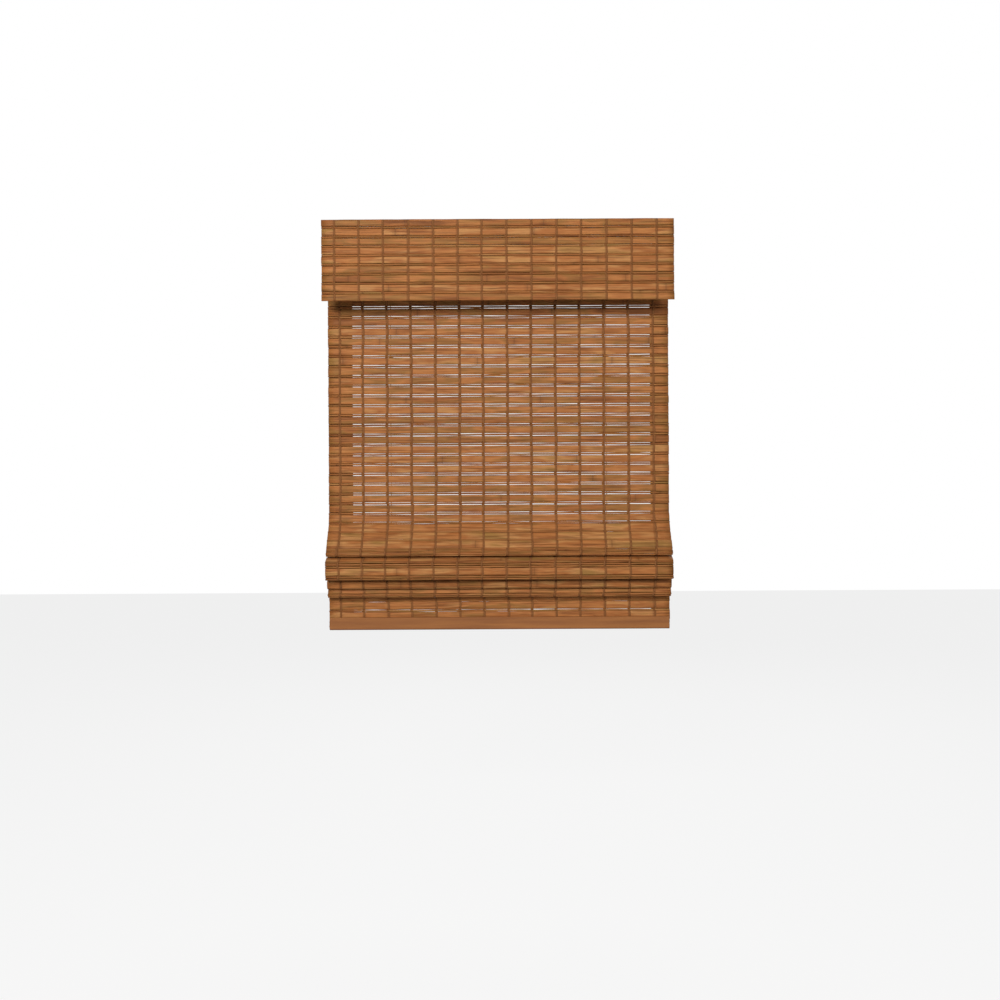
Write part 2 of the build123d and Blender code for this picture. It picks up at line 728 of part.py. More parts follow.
with BuildPart() as rail_screws:
    for x in rail_screw_x:
        with BuildSketch(Plane((x, back_slat_back, rail_middle), (1, 0, 0), (0, 1, 0))):
            Circle(2 * rail_screw_radius)
        extrude(amount=-rail_screw_radius, taper=45)
        with BuildSketch(Plane((x, back_slat_back, rail_middle), (1, 0, 0), (0, 1, 0))):
            Circle(rail_screw_radius - running_clearance)
        extrude(amount=-(back_slat_back - rail_face_back) - rail_face_thickness / 2 + rail_screw_end)
finish(rail_screws.part, "rail_screws")

# Cord buttons: knotted stops let into the underside of the rail
with BuildPart() as cord_buttons:
    with BuildSketch(Plane.XY.offset(rail_bottom)):
        with Locations((-cord_x, cord_y), (cord_x, cord_y)):
            Circle(button_radius - running_clearance)
    extrude(amount=button_thickness)
    fillet(cord_buttons.edges().group_by(Axis.Z)[0], button_rounding)
finish(cord_buttons.part, "cord_buttons")

solids = sum(len(part.solids()) for part in all_parts)
lowest = min(part.bounding_box().min.Z for part in all_parts)
print(f"{len(all_parts)} nodes, {solids} solids, overall height {-lowest:.1f} mm")
print(f"bend radius of the lift cords at their rollers {roller_cord_radius:.1f} mm")
print("ring rows at", ", ".join(f"{height:.1f}" for height in ring_rows))
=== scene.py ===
import bpy, random
from math import ceil, cos, pi, radians, sin, tan
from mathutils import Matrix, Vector, noise


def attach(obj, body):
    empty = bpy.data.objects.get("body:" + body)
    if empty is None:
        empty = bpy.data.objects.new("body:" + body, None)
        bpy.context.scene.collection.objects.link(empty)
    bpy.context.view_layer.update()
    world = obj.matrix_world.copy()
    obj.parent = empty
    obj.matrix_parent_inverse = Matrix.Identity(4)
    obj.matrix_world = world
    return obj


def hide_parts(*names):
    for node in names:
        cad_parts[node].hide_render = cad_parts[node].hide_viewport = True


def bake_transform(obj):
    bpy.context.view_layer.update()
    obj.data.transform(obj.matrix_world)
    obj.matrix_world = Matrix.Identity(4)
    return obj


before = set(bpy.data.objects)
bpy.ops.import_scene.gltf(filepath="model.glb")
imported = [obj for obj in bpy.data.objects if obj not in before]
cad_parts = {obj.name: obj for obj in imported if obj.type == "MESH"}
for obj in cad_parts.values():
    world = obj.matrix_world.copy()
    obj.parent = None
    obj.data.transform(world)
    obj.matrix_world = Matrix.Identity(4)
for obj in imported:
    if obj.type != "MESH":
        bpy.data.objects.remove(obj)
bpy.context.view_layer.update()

scene = bpy.context.scene
scene.view_settings.view_transform = "Standard"
mm = 0.001


# camera, lamps, air and floor
camera = {"place": (0.002, -1.923, -0.5472), "lens": 34.8, "roll": 0.3}
cameraData = bpy.data.cameras.new("camera")
cameraData.lens, cameraData.sensor_width = camera["lens"], 36
cameraObject = bpy.data.objects.new("camera", cameraData)
cameraObject.location = camera["place"]
cameraObject.rotation_euler = (radians(90), radians(camera["roll"]), 0)
scene.collection.objects.link(cameraObject)
scene.camera = cameraObject

lamps = {
    "keyLamp": {"place": (-0.7, -2.4, 0.5), "aim": (0, 0, -0.45), "size": 0.8, "watts": 52},
    "fillLamp": {"place": (1.2, -2.5, 0.1), "aim": (0, 0, -0.5), "size": 0.6, "watts": 20},
    "backLamp": {"place": (0.3, 1.6, 0.9), "aim": (0, 0, -0.4), "size": 1.6, "watts": 26},
}
for name, look in lamps.items():
    lampData = bpy.data.lights.new(name, "AREA")
    lampData.size, lampData.energy = look["size"], look["watts"]
    lamp = bpy.data.objects.new(name, lampData)
    lamp.location = look["place"]
    lamp.rotation_euler = (Vector(look["aim"]) - Vector(look["place"])).to_track_quat("-Z", "Y").to_euler()
    scene.collection.objects.link(lamp)

airLook = {"base": 0.14, "shown": 1.0}  # strength on the shade, and as the white behind it
world = bpy.data.worlds.new("studioAir")
scene.world = world
world.use_nodes = True
worldNodes = world.node_tree.nodes
worldNodes.clear()
output = worldNodes.new("ShaderNodeOutputWorld")
ray = worldNodes.new("ShaderNodeLightPath")
seen, shown = worldNodes.new("ShaderNodeMath"), worldNodes.new("ShaderNodeMath")
seen.operation = shown.operation = "MAXIMUM"
glow = worldNodes.new("ShaderNodeMix")
glow.data_type = "FLOAT"
glow.inputs[2].default_value, glow.inputs[3].default_value = airLook["base"], airLook["shown"]
air = worldNodes.new("ShaderNodeBackground")
air.inputs[0].default_value = (1, 1, 1, 1)
worldLinks = world.node_tree.links
worldLinks.new(ray.outputs["Is Camera Ray"], seen.inputs[0])
worldLinks.new(ray.outputs["Is Glossy Ray"], seen.inputs[1])
worldLinks.new(seen.outputs[0], shown.inputs[0])
worldLinks.new(ray.outputs["Is Transmission Ray"], shown.inputs[1])
worldLinks.new(shown.outputs[0], glow.inputs[0])
worldLinks.new(glow.outputs[0], air.inputs[1])
worldLinks.new(air.outputs[0], output.inputs[0])

floorLook = {"height": -1.3, "reach": 6.0, "colour": (0.62, 0.62, 0.61), "glow": 0.85}
floorMesh = bpy.data.meshes.new("floor")
reach, height = floorLook["reach"], floorLook["height"]
floorMesh.from_pydata([(-reach, -reach, height), (reach, -reach, height), (reach, reach, height),
                       (-reach, reach, height)], [], [(0, 1, 2, 3)])
floorObject = bpy.data.objects.new("floor", floorMesh)
scene.collection.objects.link(floorObject)
floorPaint = bpy.data.materials.new("floorPaint")
floorPaint.use_nodes = True
floorNodes, floorLinks = floorPaint.node_tree.nodes, floorPaint.node_tree.links
floorNodes.clear()
matt, white = floorNodes.new("ShaderNodeBsdfDiffuse"), floorNodes.new("ShaderNodeEmission")
matt.inputs[0].default_value = (*floorLook["colour"], 1)
floorRay, share = floorNodes.new("ShaderNodeLightPath"), floorNodes.new("ShaderNodeMath")
share.operation, share.inputs[1].default_value = "MULTIPLY", floorLook["glow"]
both, floorOut = floorNodes.new("ShaderNodeMixShader"), floorNodes.new("ShaderNodeOutputMaterial")
floorLinks.new(floorRay.outputs["Is Camera Ray"], share.inputs[0])
floorLinks.new(share.outputs[0], both.inputs[0])
floorLinks.new(matt.outputs[0], both.inputs[1])
floorLinks.new(white.outputs[0], both.inputs[2])
floorLinks.new(both.outputs[0], floorOut.inputs[0])
floorMesh.materials.append(floorPaint)
print("camera, lamps and floor set")


# shader sockets that add up as Python expressions
class Sock:
    def __init__(self, kit, link):
        self.kit, self.link = kit, link

    def sum(self, kind, *others):
        return self.kit.node("ShaderNodeMath", {"operation": kind}, self, *others)

    def __add__(self, other): return self.sum("ADD", other)
    def __sub__(self, other): return self.sum("SUBTRACT", other)
    def __mul__(self, other): return self.sum("MULTIPLY", other)
    def __truediv__(self, other): return self.sum("DIVIDE", other)
    def __rsub__(self, other): return self.kit.node("ShaderNodeMath", {"operation": "SUBTRACT"}, other, self)
    __radd__, __rmul__ = __add__, __mul__

    def step(self, low, high):  # from 0 at low to 1 at high, soft between; low may be the larger
        soft = {"interpolation_type": "SMOOTHSTEP"}
        return self.kit.node("ShaderNodeMapRange", soft, self, low, high, 0.0, 1.0)

    def fromMiddle(self):  # 0 at one half, 1 at 0 and at 1
        return (self - 0.5).sum("ABSOLUTE") * 2.0


class Finish:  # one material and its nodes
    def __init__(self, name, viewColour):
        self.material = bpy.data.materials.new(name)
        self.material.use_nodes = True
        self.material.diffuse_color = (*viewColour, 1)
        self.tree = self.material.node_tree
        self.tree.nodes.clear()
        self.surface = self.tree.nodes.new("ShaderNodeBsdfPrincipled")
        ending = self.tree.nodes.new("ShaderNodeOutputMaterial")
        self.tree.links.new(self.surface.outputs[0], ending.inputs[0])

    def plug(self, socket, value):
        if isinstance(value, Sock):
            self.tree.links.new(value.link, socket)
        elif isinstance(value, (tuple, list)) and len(value) == 3 and len(socket.default_value) == 4:
            socket.default_value = (*value, 1)
        else:
            socket.default_value = value

    def node(self, kind, settings, *values, out=0, **named):
        made = self.tree.nodes.new(kind)
        for key, value in settings.items():
            if key == "stops":
                ramp = made.color_ramp
                while len(ramp.elements) < len(value):
                    ramp.elements.new(0.5)
                for element, (place, colour) in zip(ramp.elements, value):
                    element.position, element.color = place, (*colour, 1)
            else:
                setattr(made, key, value)
        for number, value in enumerate(values):
            if value is not None:
                self.plug(made.inputs[number], value)
        for key, value in named.items():
            self.plug(made.inputs[key], value)
        return Sock(self, made.outputs[out])

    def mix(self, share, first, second, kind="MIX"):
        made = self.tree.nodes.new("ShaderNodeMix")
        made.data_type, made.blend_type, made.clamp_factor = "RGBA", kind, True
        for number, value in ((0, share), (6, first), (7, second)):
            self.plug(made.inputs[number], value)
        return Sock(self, made.outputs[2])

    def join(self, x, y, z):
        return self.node("ShaderNodeCombineXYZ", {}, x, y, z)

    def chance(self, number):  # one random value for each number
        return self.node("ShaderNodeTexWhiteNoise", {"noise_dimensions": "1D"}, W=number)

    def grain(self, vector, scale, detail=2.0, rough=0.5):
        return self.node("ShaderNodeTexNoise", {}, Vector=vector, Scale=scale, Detail=detail,
                         Roughness=rough)

    def bump(self, height, strength, depth):
        self.plug(self.surface.inputs["Normal"],
                  self.node("ShaderNodeBump", {}, Height=height, Strength=strength, Distance=depth))

    def set(self, **sockets):
        for key, value in sockets.items():
            self.plug(self.surface.inputs[key.replace("_", " ")], value)
        return self.material


def srgb(red, green, blue):  # a colour on the 0 to 255 scale, as linear light
    shares = [c / 255 for c in (red, green, blue)]
    return tuple(c / 12.92 if c < 0.0404 else ((c + 0.055) / 1.055) ** 2.4 for c in shares)


def darker(colour, share):
    return tuple(c * share for c in colour)


def uvOf(finish, layer):  # the two numbers that a UV layer holds
    parts = finish.node("ShaderNodeSeparateXYZ", {}, finish.node("ShaderNodeUVMap", {"uv_map": layer}))
    return Sock(finish, parts.link.node.outputs[0]), Sock(finish, parts.link.node.outputs[1])


bamboo = {
    "stops": [(0.0, srgb(132, 80, 42)), (0.18, srgb(166, 104, 58)), (0.34, srgb(148, 104, 56)),
              (0.5, srgb(182, 120, 70)), (0.66, srgb(166, 104, 58)), (0.82, srgb(190, 136, 86)),
              (1.0, srgb(158, 118, 66))],
    # the pale colour is used only for a painted highlight along the grain
    "dark": srgb(96, 54, 26), "stain": srgb(74, 46, 28), "highlightPale": srgb(206, 152, 100),
    "tone": (0.92, 0.88, 0.77),
    "byReed": 0.55, "byCell": 0.26, "byLength": 1.2,  # how far the colour strays
    "broad": 0.62, "streak": 0.66, "paintedSheen": 0.42, "fibre": 0.4,  # long marks; the sheen is a painted highlight along the grain
    "nodePitch": 0.27, "nodeWidth": 0.0018, "nodeRing": 0.3, "nodeHalo": 0.22,
    # shadeBesideWarp is painted shade on the reeds beside each warp thread
    "blot": 0.5, "speck": 0.4, "edge": 0.42, "shadeBesideWarp": 0.42,
}


def bambooFinish(name, shade, seed):
    finish = Finish(name, srgb(168, 114, 71))
    along, rows = uvOf(finish, "place")
    reed, across = rows.sum("FLOOR"), rows.sum("FRACT")
    lane = reed * 7.3 + seed
    column, _ = uvOf(finish, "cell")
    cell, within = column.sum("FLOOR"), column.sum("FRACT")  # between two warp lines
    reedChance = finish.chance(reed * 1.37 + seed)
    nodeChance = finish.chance(reed * 2.91 + seed + 40.0)
    cellChance = finish.chance(reed * 3.17 + cell * 11.3 + seed)
    slow = finish.grain(finish.join(along * 12.0, across * 0.9, lane), 1.0, 2.0)
    tint = ((reedChance - 0.5) * bamboo["byReed"] + (cellChance - 0.5) * bamboo["byCell"]
            + (slow - 0.5) * bamboo["byLength"] + 0.5)
    colour = finish.node("ShaderNodeValToRGB", {"stops": bamboo["stops"]}, tint)

    broad = finish.grain(finish.join(along * 10.0, across * 4.5, lane + 5.0), 1.0, 3.0, 0.6)
    streak = finish.grain(finish.join(along * 12.0, across * 13.0, lane), 1.0, 5.0, 0.62)
    fibre = finish.grain(finish.join(along * 45.0, across * 46.0, lane), 1.0, 3.0, 0.6)
    colour = finish.mix(broad.step(0.47, 0.68) * bamboo["broad"], colour, bamboo["dark"])
    colour = finish.mix(streak.step(0.5, 0.72) * bamboo["streak"], colour, bamboo["dark"])
    # painted highlight: pale streaks along the grain that stand in for sheen
    colour = finish.mix(streak.step(0.46, 0.28) * bamboo["paintedSheen"], colour, bamboo["highlightPale"])
    colour = finish.mix(fibre.step(0.5, 0.76) * bamboo["fibre"], colour, bamboo["dark"])

    pitch = bamboo["nodePitch"]  # the joints of the cane, on some reeds only
    knot = ((along / pitch + nodeChance * 3.0).sum("FRACT") - 0.5).sum("ABSOLUTE") * pitch
    some = nodeChance.step(0.5, 0.55)
    ring = (1.0 - knot.step(bamboo["nodeWidth"] * 0.4, bamboo["nodeWidth"])) * some
    halo = knot.step(0.010, 0.002) * some
    colour = finish.mix(halo * bamboo["nodeHalo"], colour, bamboo["dark"])
    colour = finish.mix(ring * bamboo["nodeRing"], colour, bamboo["stain"])

    blotGrain = finish.grain(finish.join(along * 26.0, across * 1.8, lane + 11.0), 1.0, 3.0, 0.7)
    colour = finish.mix(blotGrain.step(0.66, 0.82) * bamboo["blot"], colour, bamboo["stain"])
    speckGrain = finish.grain(finish.join(along * 300.0, across * 7.0, lane), 1.0, 1.0)
    colour = finish.mix(speckGrain.step(0.76, 0.84) * bamboo["speck"], colour, bamboo["stain"])
    colour = finish.mix(across.fromMiddle().step(0.74, 1.0) * bamboo["edge"], colour, bamboo["dark"])
    # painted shade on the reeds beside each warp line
    colour = finish.mix(within.fromMiddle().step(0.84, 0.97) * bamboo["shadeBesideWarp"], colour, bamboo["dark"])
    colour = finish.mix(1.0, colour, darker(bamboo["tone"], shade), "MULTIPLY")
    finish.bump(streak * 0.6 + fibre * 0.5 + ring * 0.5, 0.5, 0.0004)
    return finish.set(Base_Color=colour, Roughness=0.5 + streak * 0.18, Specular_IOR_Level=0.14)


def threadFinish(name, light, dark):
    finish = Finish(name, light)
    along, around = uvOf(finish, "place")
    twist = (along * 900.0 + around).sum("FRACT").fromMiddle()
    fuzz = finish.grain(finish.join(along * 700.0, around * 8.0, 1.0), 1.0, 3.0)
    colour = finish.mix((twist * 0.6 + fuzz * 0.6).step(0.3, 0.9), dark, light)
    finish.bump(twist + fuzz * 0.5, 0.6, 0.0003)
    return finish.set(Base_Color=colour, Roughness=0.86, Specular_IOR_Level=0.2)


def clothFinish(name, light, dark, pitch):
    finish = Finish(name, light)
    along, across = uvOf(finish, "place")
    weft = (along * (2 * pi / pitch)).sum("SINE")
    warp = (across * (2 * pi / pitch)).sum("SINE")
    check = weft * warp * 0.5 + 0.5
    wear = finish.grain(finish.join(along * 60.0, across * 60.0, 3.0), 1.0, 4.0)
    colour = finish.mix((check * 0.45 + wear * 0.6).step(0.2, 0.85), dark, light)
    finish.bump(check + wear * 0.3, 0.5, 0.00025)
    return finish.set(Base_Color=colour, Roughness=0.88, Sheen_Weight=0.15, Specular_IOR_Level=0.2)


def solidPlace(finish):  # the coordinates of a rigid piece, in metres
    parts = finish.node("ShaderNodeSeparateXYZ", {}, finish.node("ShaderNodeTexCoord", {}, out=3))
    return [Sock(finish, parts.link.node.outputs[n]) for n in range(3)]


def boardFinish(name, light, dark, seed, gloss=0.5, foot=None):
    finish = Finish(name, light)
    x, y, z = solidPlace(finish)
    streak = finish.grain(finish.join(x * 5.0 + seed, y * 120.0, z * 120.0), 1.0, 5.0, 0.6)
    fibre = finish.grain(finish.join(x * 30.0 + seed, y * 700.0, z * 700.0), 1.0, 3.0, 0.6)
    slow = finish.grain(finish.join(x * 3.0 + seed, y * 9.0, z * 30.0), 1.0, 2.0)
    colour = finish.mix((streak * 0.7 + slow * 0.4).step(0.35, 0.8), light, dark)
    colour = finish.mix(fibre.step(0.5, 0.8) * 0.3, colour, dark)
    if foot:  # darker along its lower edge
        colour = finish.mix(z.step(foot + 0.0035, foot) * 0.7, colour, darker(dark, 0.45))
    finish.bump(streak * 0.5 + fibre * 0.6, 0.35, 0.0003)
    return finish.set(Base_Color=colour, Roughness=gloss + fibre * 0.12, Specular_IOR_Level=0.35)


def paintFinish(name, light, seed, gloss=0.38):
    finish = Finish(name, light)
    x, y, z = solidPlace(finish)
    peel = finish.grain(finish.join(x, y, z), 900.0, 2.0)
    dust = finish.grain(finish.join(x + seed, y, z), 22.0, 5.0, 0.65)
    colour = finish.mix(dust.step(0.45, 0.8) * 0.28, light, darker(light, 0.72))
    finish.bump(peel, 0.12, 0.0002)
    return finish.set(Base_Color=colour, Roughness=gloss + dust * 0.14)


def steelFinish(name, light, seed, rough=0.34):
    finish = Finish(name, light)
    x, y, z = solidPlace(finish)
    brush = finish.grain(finish.join(x * 20.0 + seed, y * 900.0, z * 900.0), 1.0, 3.0)
    cloud = finish.grain(finish.join(x, y, z), 160.0, 4.0)
    colour = finish.mix(cloud.step(0.35, 0.75) * 0.35, light, darker(light, 0.6))
    finish.bump(brush, 0.15, 0.0001)
    return finish.set(Base_Color=colour, Metallic=1.0, Roughness=rough + brush * 0.2)


def mouldedFinish(name, light, seed, gloss=0.42):
    finish = Finish(name, light)
    x, y, z = solidPlace(finish)
    spark = finish.grain(finish.join(x, y, z), 2400.0, 2.0)
    flow = finish.grain(finish.join(x + seed, y, z), 70.0, 3.0)
    colour = finish.mix(flow.step(0.4, 0.8) * 0.2, light, darker(light, 0.84))
    finish.bump(spark, 0.14, 0.00012)
    return finish.set(Base_Color=colour, Roughness=gloss + flow * 0.12)


slatFinish = bambooFinish("bambooSlat", 1.0, 3.0)
stickFinish = bambooFinish("bambooStick", 0.92, 61.0)
warpFinish = threadFinish("warpThread", srgb(150, 98, 55), srgb(104, 64, 34))
tapeFinish = clothFinish("edgeTape", srgb(150, 98, 56), srgb(112, 68, 36), 0.0011)
cordFinish = threadFinish("liftCord", srgb(205, 182, 146), srgb(150, 126, 92))
tieFinish = threadFinish("ringTie", srgb(176, 134, 88), srgb(116, 80, 46))
print("finishes made")


# meshes
class Shape:  # points, faces, UV places and finishes of one piece
    def __init__(self):
        self.points, self.faces, self.places, self.slots, self.cells = [], [], [], [], []

    def tube(self, rings, alongs, arounds, slot, cells=None):
        # rings of points joined into a closed tube; cells count the warp lines passed, for reeds only
        start, count = len(self.points), len(rings[0])
        cells = cells or [0.5] * len(rings)
        for ring in rings:
            self.points += ring
        for r in range(len(rings) - 1):
            for c in range(count):
                d = (c + 1) % count
                a, b = start + r * count, start + (r + 1) * count
                self.faces.append((a + c, a + d, b + d, b + c))
                self.places += [(alongs[r], arounds[c]), (alongs[r], arounds[c + 1]),
                                (alongs[r + 1], arounds[c + 1]), (alongs[r + 1], arounds[c])]
                self.cells += [(cells[r], 0.0)] * 2 + [(cells[r + 1], 0.0)] * 2
                self.slots.append(slot)
        for r, order in ((0, range(count - 1, -1, -1)), (len(rings) - 1, range(count))):
            self.faces.append(tuple(start + r * count + c for c in order))
            self.places += [(alongs[r], arounds[c]) for c in order]
            self.cells += [(cells[r], 0.0)] * count
            self.slots.append(slot)

    def build(self, name, finishes):
        mesh = bpy.data.meshes.new(name)
        mesh.from_pydata([tuple(p) for p in self.points], [], self.faces)
        for layerName, values in (("place", self.places), ("cell", self.cells)):
            layer = mesh.uv_layers.new(name=layerName)
            layer.data.foreach_set("uv", [v for value in values for v in value])
        for finish in finishes:
            mesh.materials.append(finish)
        mesh.polygons.foreach_set("material_index", self.slots)
        mesh.polygons.foreach_set("use_smooth", [True] * len(self.faces))
        mesh.update()
        piece = bpy.data.objects.new(name, mesh)
        scene.collection.objects.link(piece)
        return piece


# the section of the mat, as depth in front of the cords, height and bend radius, in millimetres
cordY, matDepth = 26.5, 8.0  # place of the cords from front to back, and of the hanging mat before them
matBends = [
    (matDepth, -40.6, 0), (matDepth, -584.0, 45.0), (17.5, -604.0, 30.0), (52.0, -658.5, 4.0),
    (matDepth, -648.0, 3.0), (matDepth, -655.0, 3.0), (54.0, -663.5, 7.0), (54.5, -702.3, 3.4),
    (47.5, -702.3, 3.4), (45.5, -671.0, 6.0), (matDepth, -660.7, 2.8), (matDepth, -667.0, 2.8),
    (34.0, -675.5, 6.0), (33.5, -721.3, 3.4), (26.5, -721.3, 3.4), (26.5, -682.5, 5.0),
    (matDepth, -672.3, 2.6), (matDepth, -679.0, 2.6), (20.5, -686.0, 4.0), (20.5, -721.0, 8.0),
    (26.0, -728.0, 8.0), (26.0, -738.8, 3.4), (19.0, -738.8, 3.4), (14.8, -718.0, 12.0),
    (14.8, -692.0, 3.5), (matDepth, -684.5, 3.0), (matDepth, -805.0, 0),
]


class Path:  # a line through straight runs and bends, followed by its length
    def __init__(self, bends):
        points = [Vector((cordY - depth, height)) for depth, height, radius in bends]
        line = [points[0]]
        corners = zip(points, points[1:], points[2:], bends[1:-1])
        for before, corner, after, (depth, height, radius) in corners:
            a, b = (before - corner).normalized(), (after - corner).normalized()
            half = a.angle(b) / 2
            centre = corner + (a + b).normalized() * (radius / sin(half))
            first, last = corner + a * (radius / tan(half)), corner + b * (radius / tan(half))
            spread = (first - centre).angle(last - centre)
            steps = max(3, ceil(spread * radius / 0.8))
            for n in range(steps + 1):
                t = n / steps
                arm = (first - centre) * sin((1 - t) * spread) + (last - centre) * sin(t * spread)
                line.append(centre + arm / sin(spread))
        line.append(points[-1])
        self.line, self.marks = [line[0]], [0.0]
        for p in line[1:]:
            step = (p - self.line[-1]).length
            if step > 1e-5:
                self.line.append(p)
                self.marks.append(self.marks[-1] + step)
        self.length = self.marks[-1]

    def at(self, s):
        s = min(max(s, 0.0), self.length)
        low, high = 0, len(self.marks) - 1
        while high - low > 1:
            middle = (low + high) // 2
            if self.marks[middle] <= s:
                low = middle
            else:
                high = middle
        share = (s - self.marks[low]) / (self.marks[high] - self.marks[low])
        return self.line[low].lerp(self.line[high], share)

    def heading(self, s, reach=0.6):
        return (self.at(s + reach) - self.at(s - reach)).normalized()

    def bulge(self, a, b):  # how far the line strays from the chord a to b
        first, last = self.at(a), self.at(b)
        chord = (last - first).normalized()
        return max(abs((self.at(a + (b - a) * n / 6) - first).cross(chord)) for n in range(1, 6))

    def near(self, depth, height, after=0.0):  # the length at which the line passes a place
        target = Vector((cordY - depth, height))
        found = [(n * 0.25 + after) for n in range(int((self.length - after) / 0.25))]
        return min(found, key=lambda s: (self.at(s) - target).length)


matPath = Path(matBends)
reeds = {
    "slat": 14.7, "thick": 1.8, "stick": 3.9, "slit": 0.55, "width": 683.0, "segments": 46,
    "closedSlat": 16.7, "closedSlit": -0.45,  # a negative slit laps the reeds, and no light passes
    "straight": 0.95,  # most that the mat may bend under a slat
    "lift": 0.2, "tilt": 0.02, "long": 0.5, "short": 0.4,  # how far a reed is off its place and length
    "wave": 0.4, "wander": 0.5, "slatBow": 0.18, "stickBow": 0.28, "uneven": 0.05,
}


def layReeds(path, start, end, slat, stick, slit):
    # slats where the mat runs straight enough, matchsticks between them and round the bends
    laid, s = [], start
    while s + stick < end:
        if s + slat <= end and path.bulge(s, s + slat) < reeds["straight"]:
            laid.append(("slat", s, s + slat))
            s += slat + slit
            if s + stick < end:
                laid.append(("stick", s, s + stick))
            s += stick + slit
        else:
            laid.append(("stick", s, s + stick))
            s += stick + slit * 0.5
    return laid


def layFrom(path, first, last, middle, slat, stick, slit, straight):
    # the reeds of one loop, laid both ways from the middle of the slat on its face
    laid = [("slat", middle - slat / 2, middle + slat / 2)]
    for way, end in ((1, last), (-1, first)):
        s, kind = middle + way * (slat / 2 + slit), "stick"
        while (end - s) * way > stick:
            a, b = sorted((s, s + way * (slat if kind == "slat" else stick)))
            if kind == "slat" and (a < first or b > last or path.bulge(a, b) > straight):
                kind = "stick"
                continue
            laid.append((kind, a, b))
            s += way * (b - a + slit)
            kind = "stick" if kind == "slat" else "slat"
    return sorted(laid, key=lambda reed: reed[1])


reedCount = [0]
dice = random.Random(41)


def cellAt(x, columns):  # which two warp lines a place lies between
    for number, (a, b) in enumerate(zip(columns, columns[1:])):
        if x < b:
            return number + (x - a) / (b - a)
    return len(columns) - 1 + (x - columns[-1]) / (columns[-1] - columns[-2])


def addReed(shape, path, kind, first, last, width, columns):
    # one reed across the mat: a flat slat or a round stick, a little crooked, as cut bamboo is
    reedCount[0] += 1
    number = reedCount[0]
    if kind == "slat":
        a, b = path.at(first), path.at(last)
        middle, along = (a + b) / 2, (b - a).normalized()
        half, thick = (last - first) / 2, reeds["thick"] / 2
        rim = half - 0.35
        outline = [(-half, 0.0), (-rim, thick * 0.78), (-half * 0.55, thick * 1.04), (0.0, thick * 1.12),
                   (half * 0.55, thick * 1.04), (rim, thick * 0.78), (half, 0.0),
                   (rim, -thick * 0.78), (0.0, -thick), (-rim, -thick * 0.78)]
        arounds = [0.01, 0.06, 0.24, 0.5, 0.76, 0.94, 0.99, 0.92, 0.5, 0.08, 0.01]
        stray, bend = 0.0, reeds["slatBow"]
    else:
        middle, along = path.at((first + last) / 2), path.heading((first + last) / 2)
        radius, sides = (last - first) / 2, 7
        outline = [(-radius * cos(n * 2 * pi / sides), radius * 0.88 * sin(n * 2 * pi / sides))
                   for n in range(sides)]
        arounds = [0.02 + 0.96 * (1 - abs(1 - n * 2 / sides)) for n in range(sides)] + [0.02]
        stray, bend = reeds["wander"], reeds["stickBow"]
    front = Vector((along.y, -along.x))  # towards the room
    lift = dice.uniform(-reeds["lift"], reeds["lift"])
    tilt = dice.uniform(-reeds["tilt"], reeds["tilt"])
    left = -width / 2 + dice.uniform(-reeds["long"], reeds["short"])
    right = width / 2 - dice.uniform(-reeds["long"], reeds["short"])
    rings, marks, cells = [], [], []
    for n in range(reeds["segments"] + 1):
        x = left + (right - left) * n / reeds["segments"]
        wave = noise.noise(Vector((x * 0.011, number * 3.7, 0.0)))
        wander = noise.noise(Vector((x * 0.034, number * 1.9, 6.0)))
        bow = noise.noise(Vector((x * 0.02, number * 5.1, 9.0)))
        fat = 1 + reeds["uneven"] * noise.noise(Vector((x * 0.03, number * 2.3, 4.0)))
        shift = lift + wave * reeds["wave"] + wander * stray
        ring = []
        for p, q in outline:
            spot = middle + along * (p * fat + shift) + front * (q + bow * bend + tilt * p)
            ring.append(Vector((x, spot.x, spot.y)) * mm)
        rings.append(ring)
        marks.append((x + number * 137.0) * mm)
        cells.append(cellAt(x, columns))
    shape.tube(rings, marks, [number + value for value in arounds], 0 if kind == "slat" else 1, cells)


def addThread(shape, route, radius, slot, sides=5, wide=1.0):
    # a thread along points in millimetres, round or flattened sideways
    rings, marks, run = [], [], 0.0
    for n, p in enumerate(route):
        ahead, behind = route[min(n + 1, len(route) - 1)], route[max(n - 1, 0)]
        heading = (ahead - behind).normalized()
        side = heading.cross(Vector((1, 0, 0)) if abs(heading.x) < 0.9 else Vector((0, 0, 1))).normalized()
        other = heading.cross(side) * wide
        turns = [2 * pi * c / sides for c in range(sides)]
        rings.append([(p + (side * cos(turn) + other * sin(turn)) * radius) * mm for turn in turns])
        run += (p - behind).length
        marks.append(run * mm)
    shape.tube(rings, marks, [c / sides for c in range(sides + 1)], slot)


# warp lines: places of their columns from the middle of the mat, and the flattened threads in them
warps = {
    "flat": [-318.5, -272.2, -223.8, -175.6, -127.0, -78.7, -31.1,
             17.6, 65.1, 114.2, 162.3, 210.8, 259.9, 310.0],
    "fold": [-316.0, -270.0, -224.0, -177.0, -129.0, -82.0, -34.5,
             13.5, 61.5, 110.5, 160.0, 208.0, 257.5, 308.0],
    "valance": [-318.7, -271.0, -223.5, -175.3, -126.7, -78.6, -31.9,
                16.6, 65.1, 114.1, 162.2, 211.2, 260.6, 309.5],
    "radius": 0.5, "wide": 3.8, "apart": 1.3, "over": 0.4, "drift": 1.0, "sway": 1.6,
}


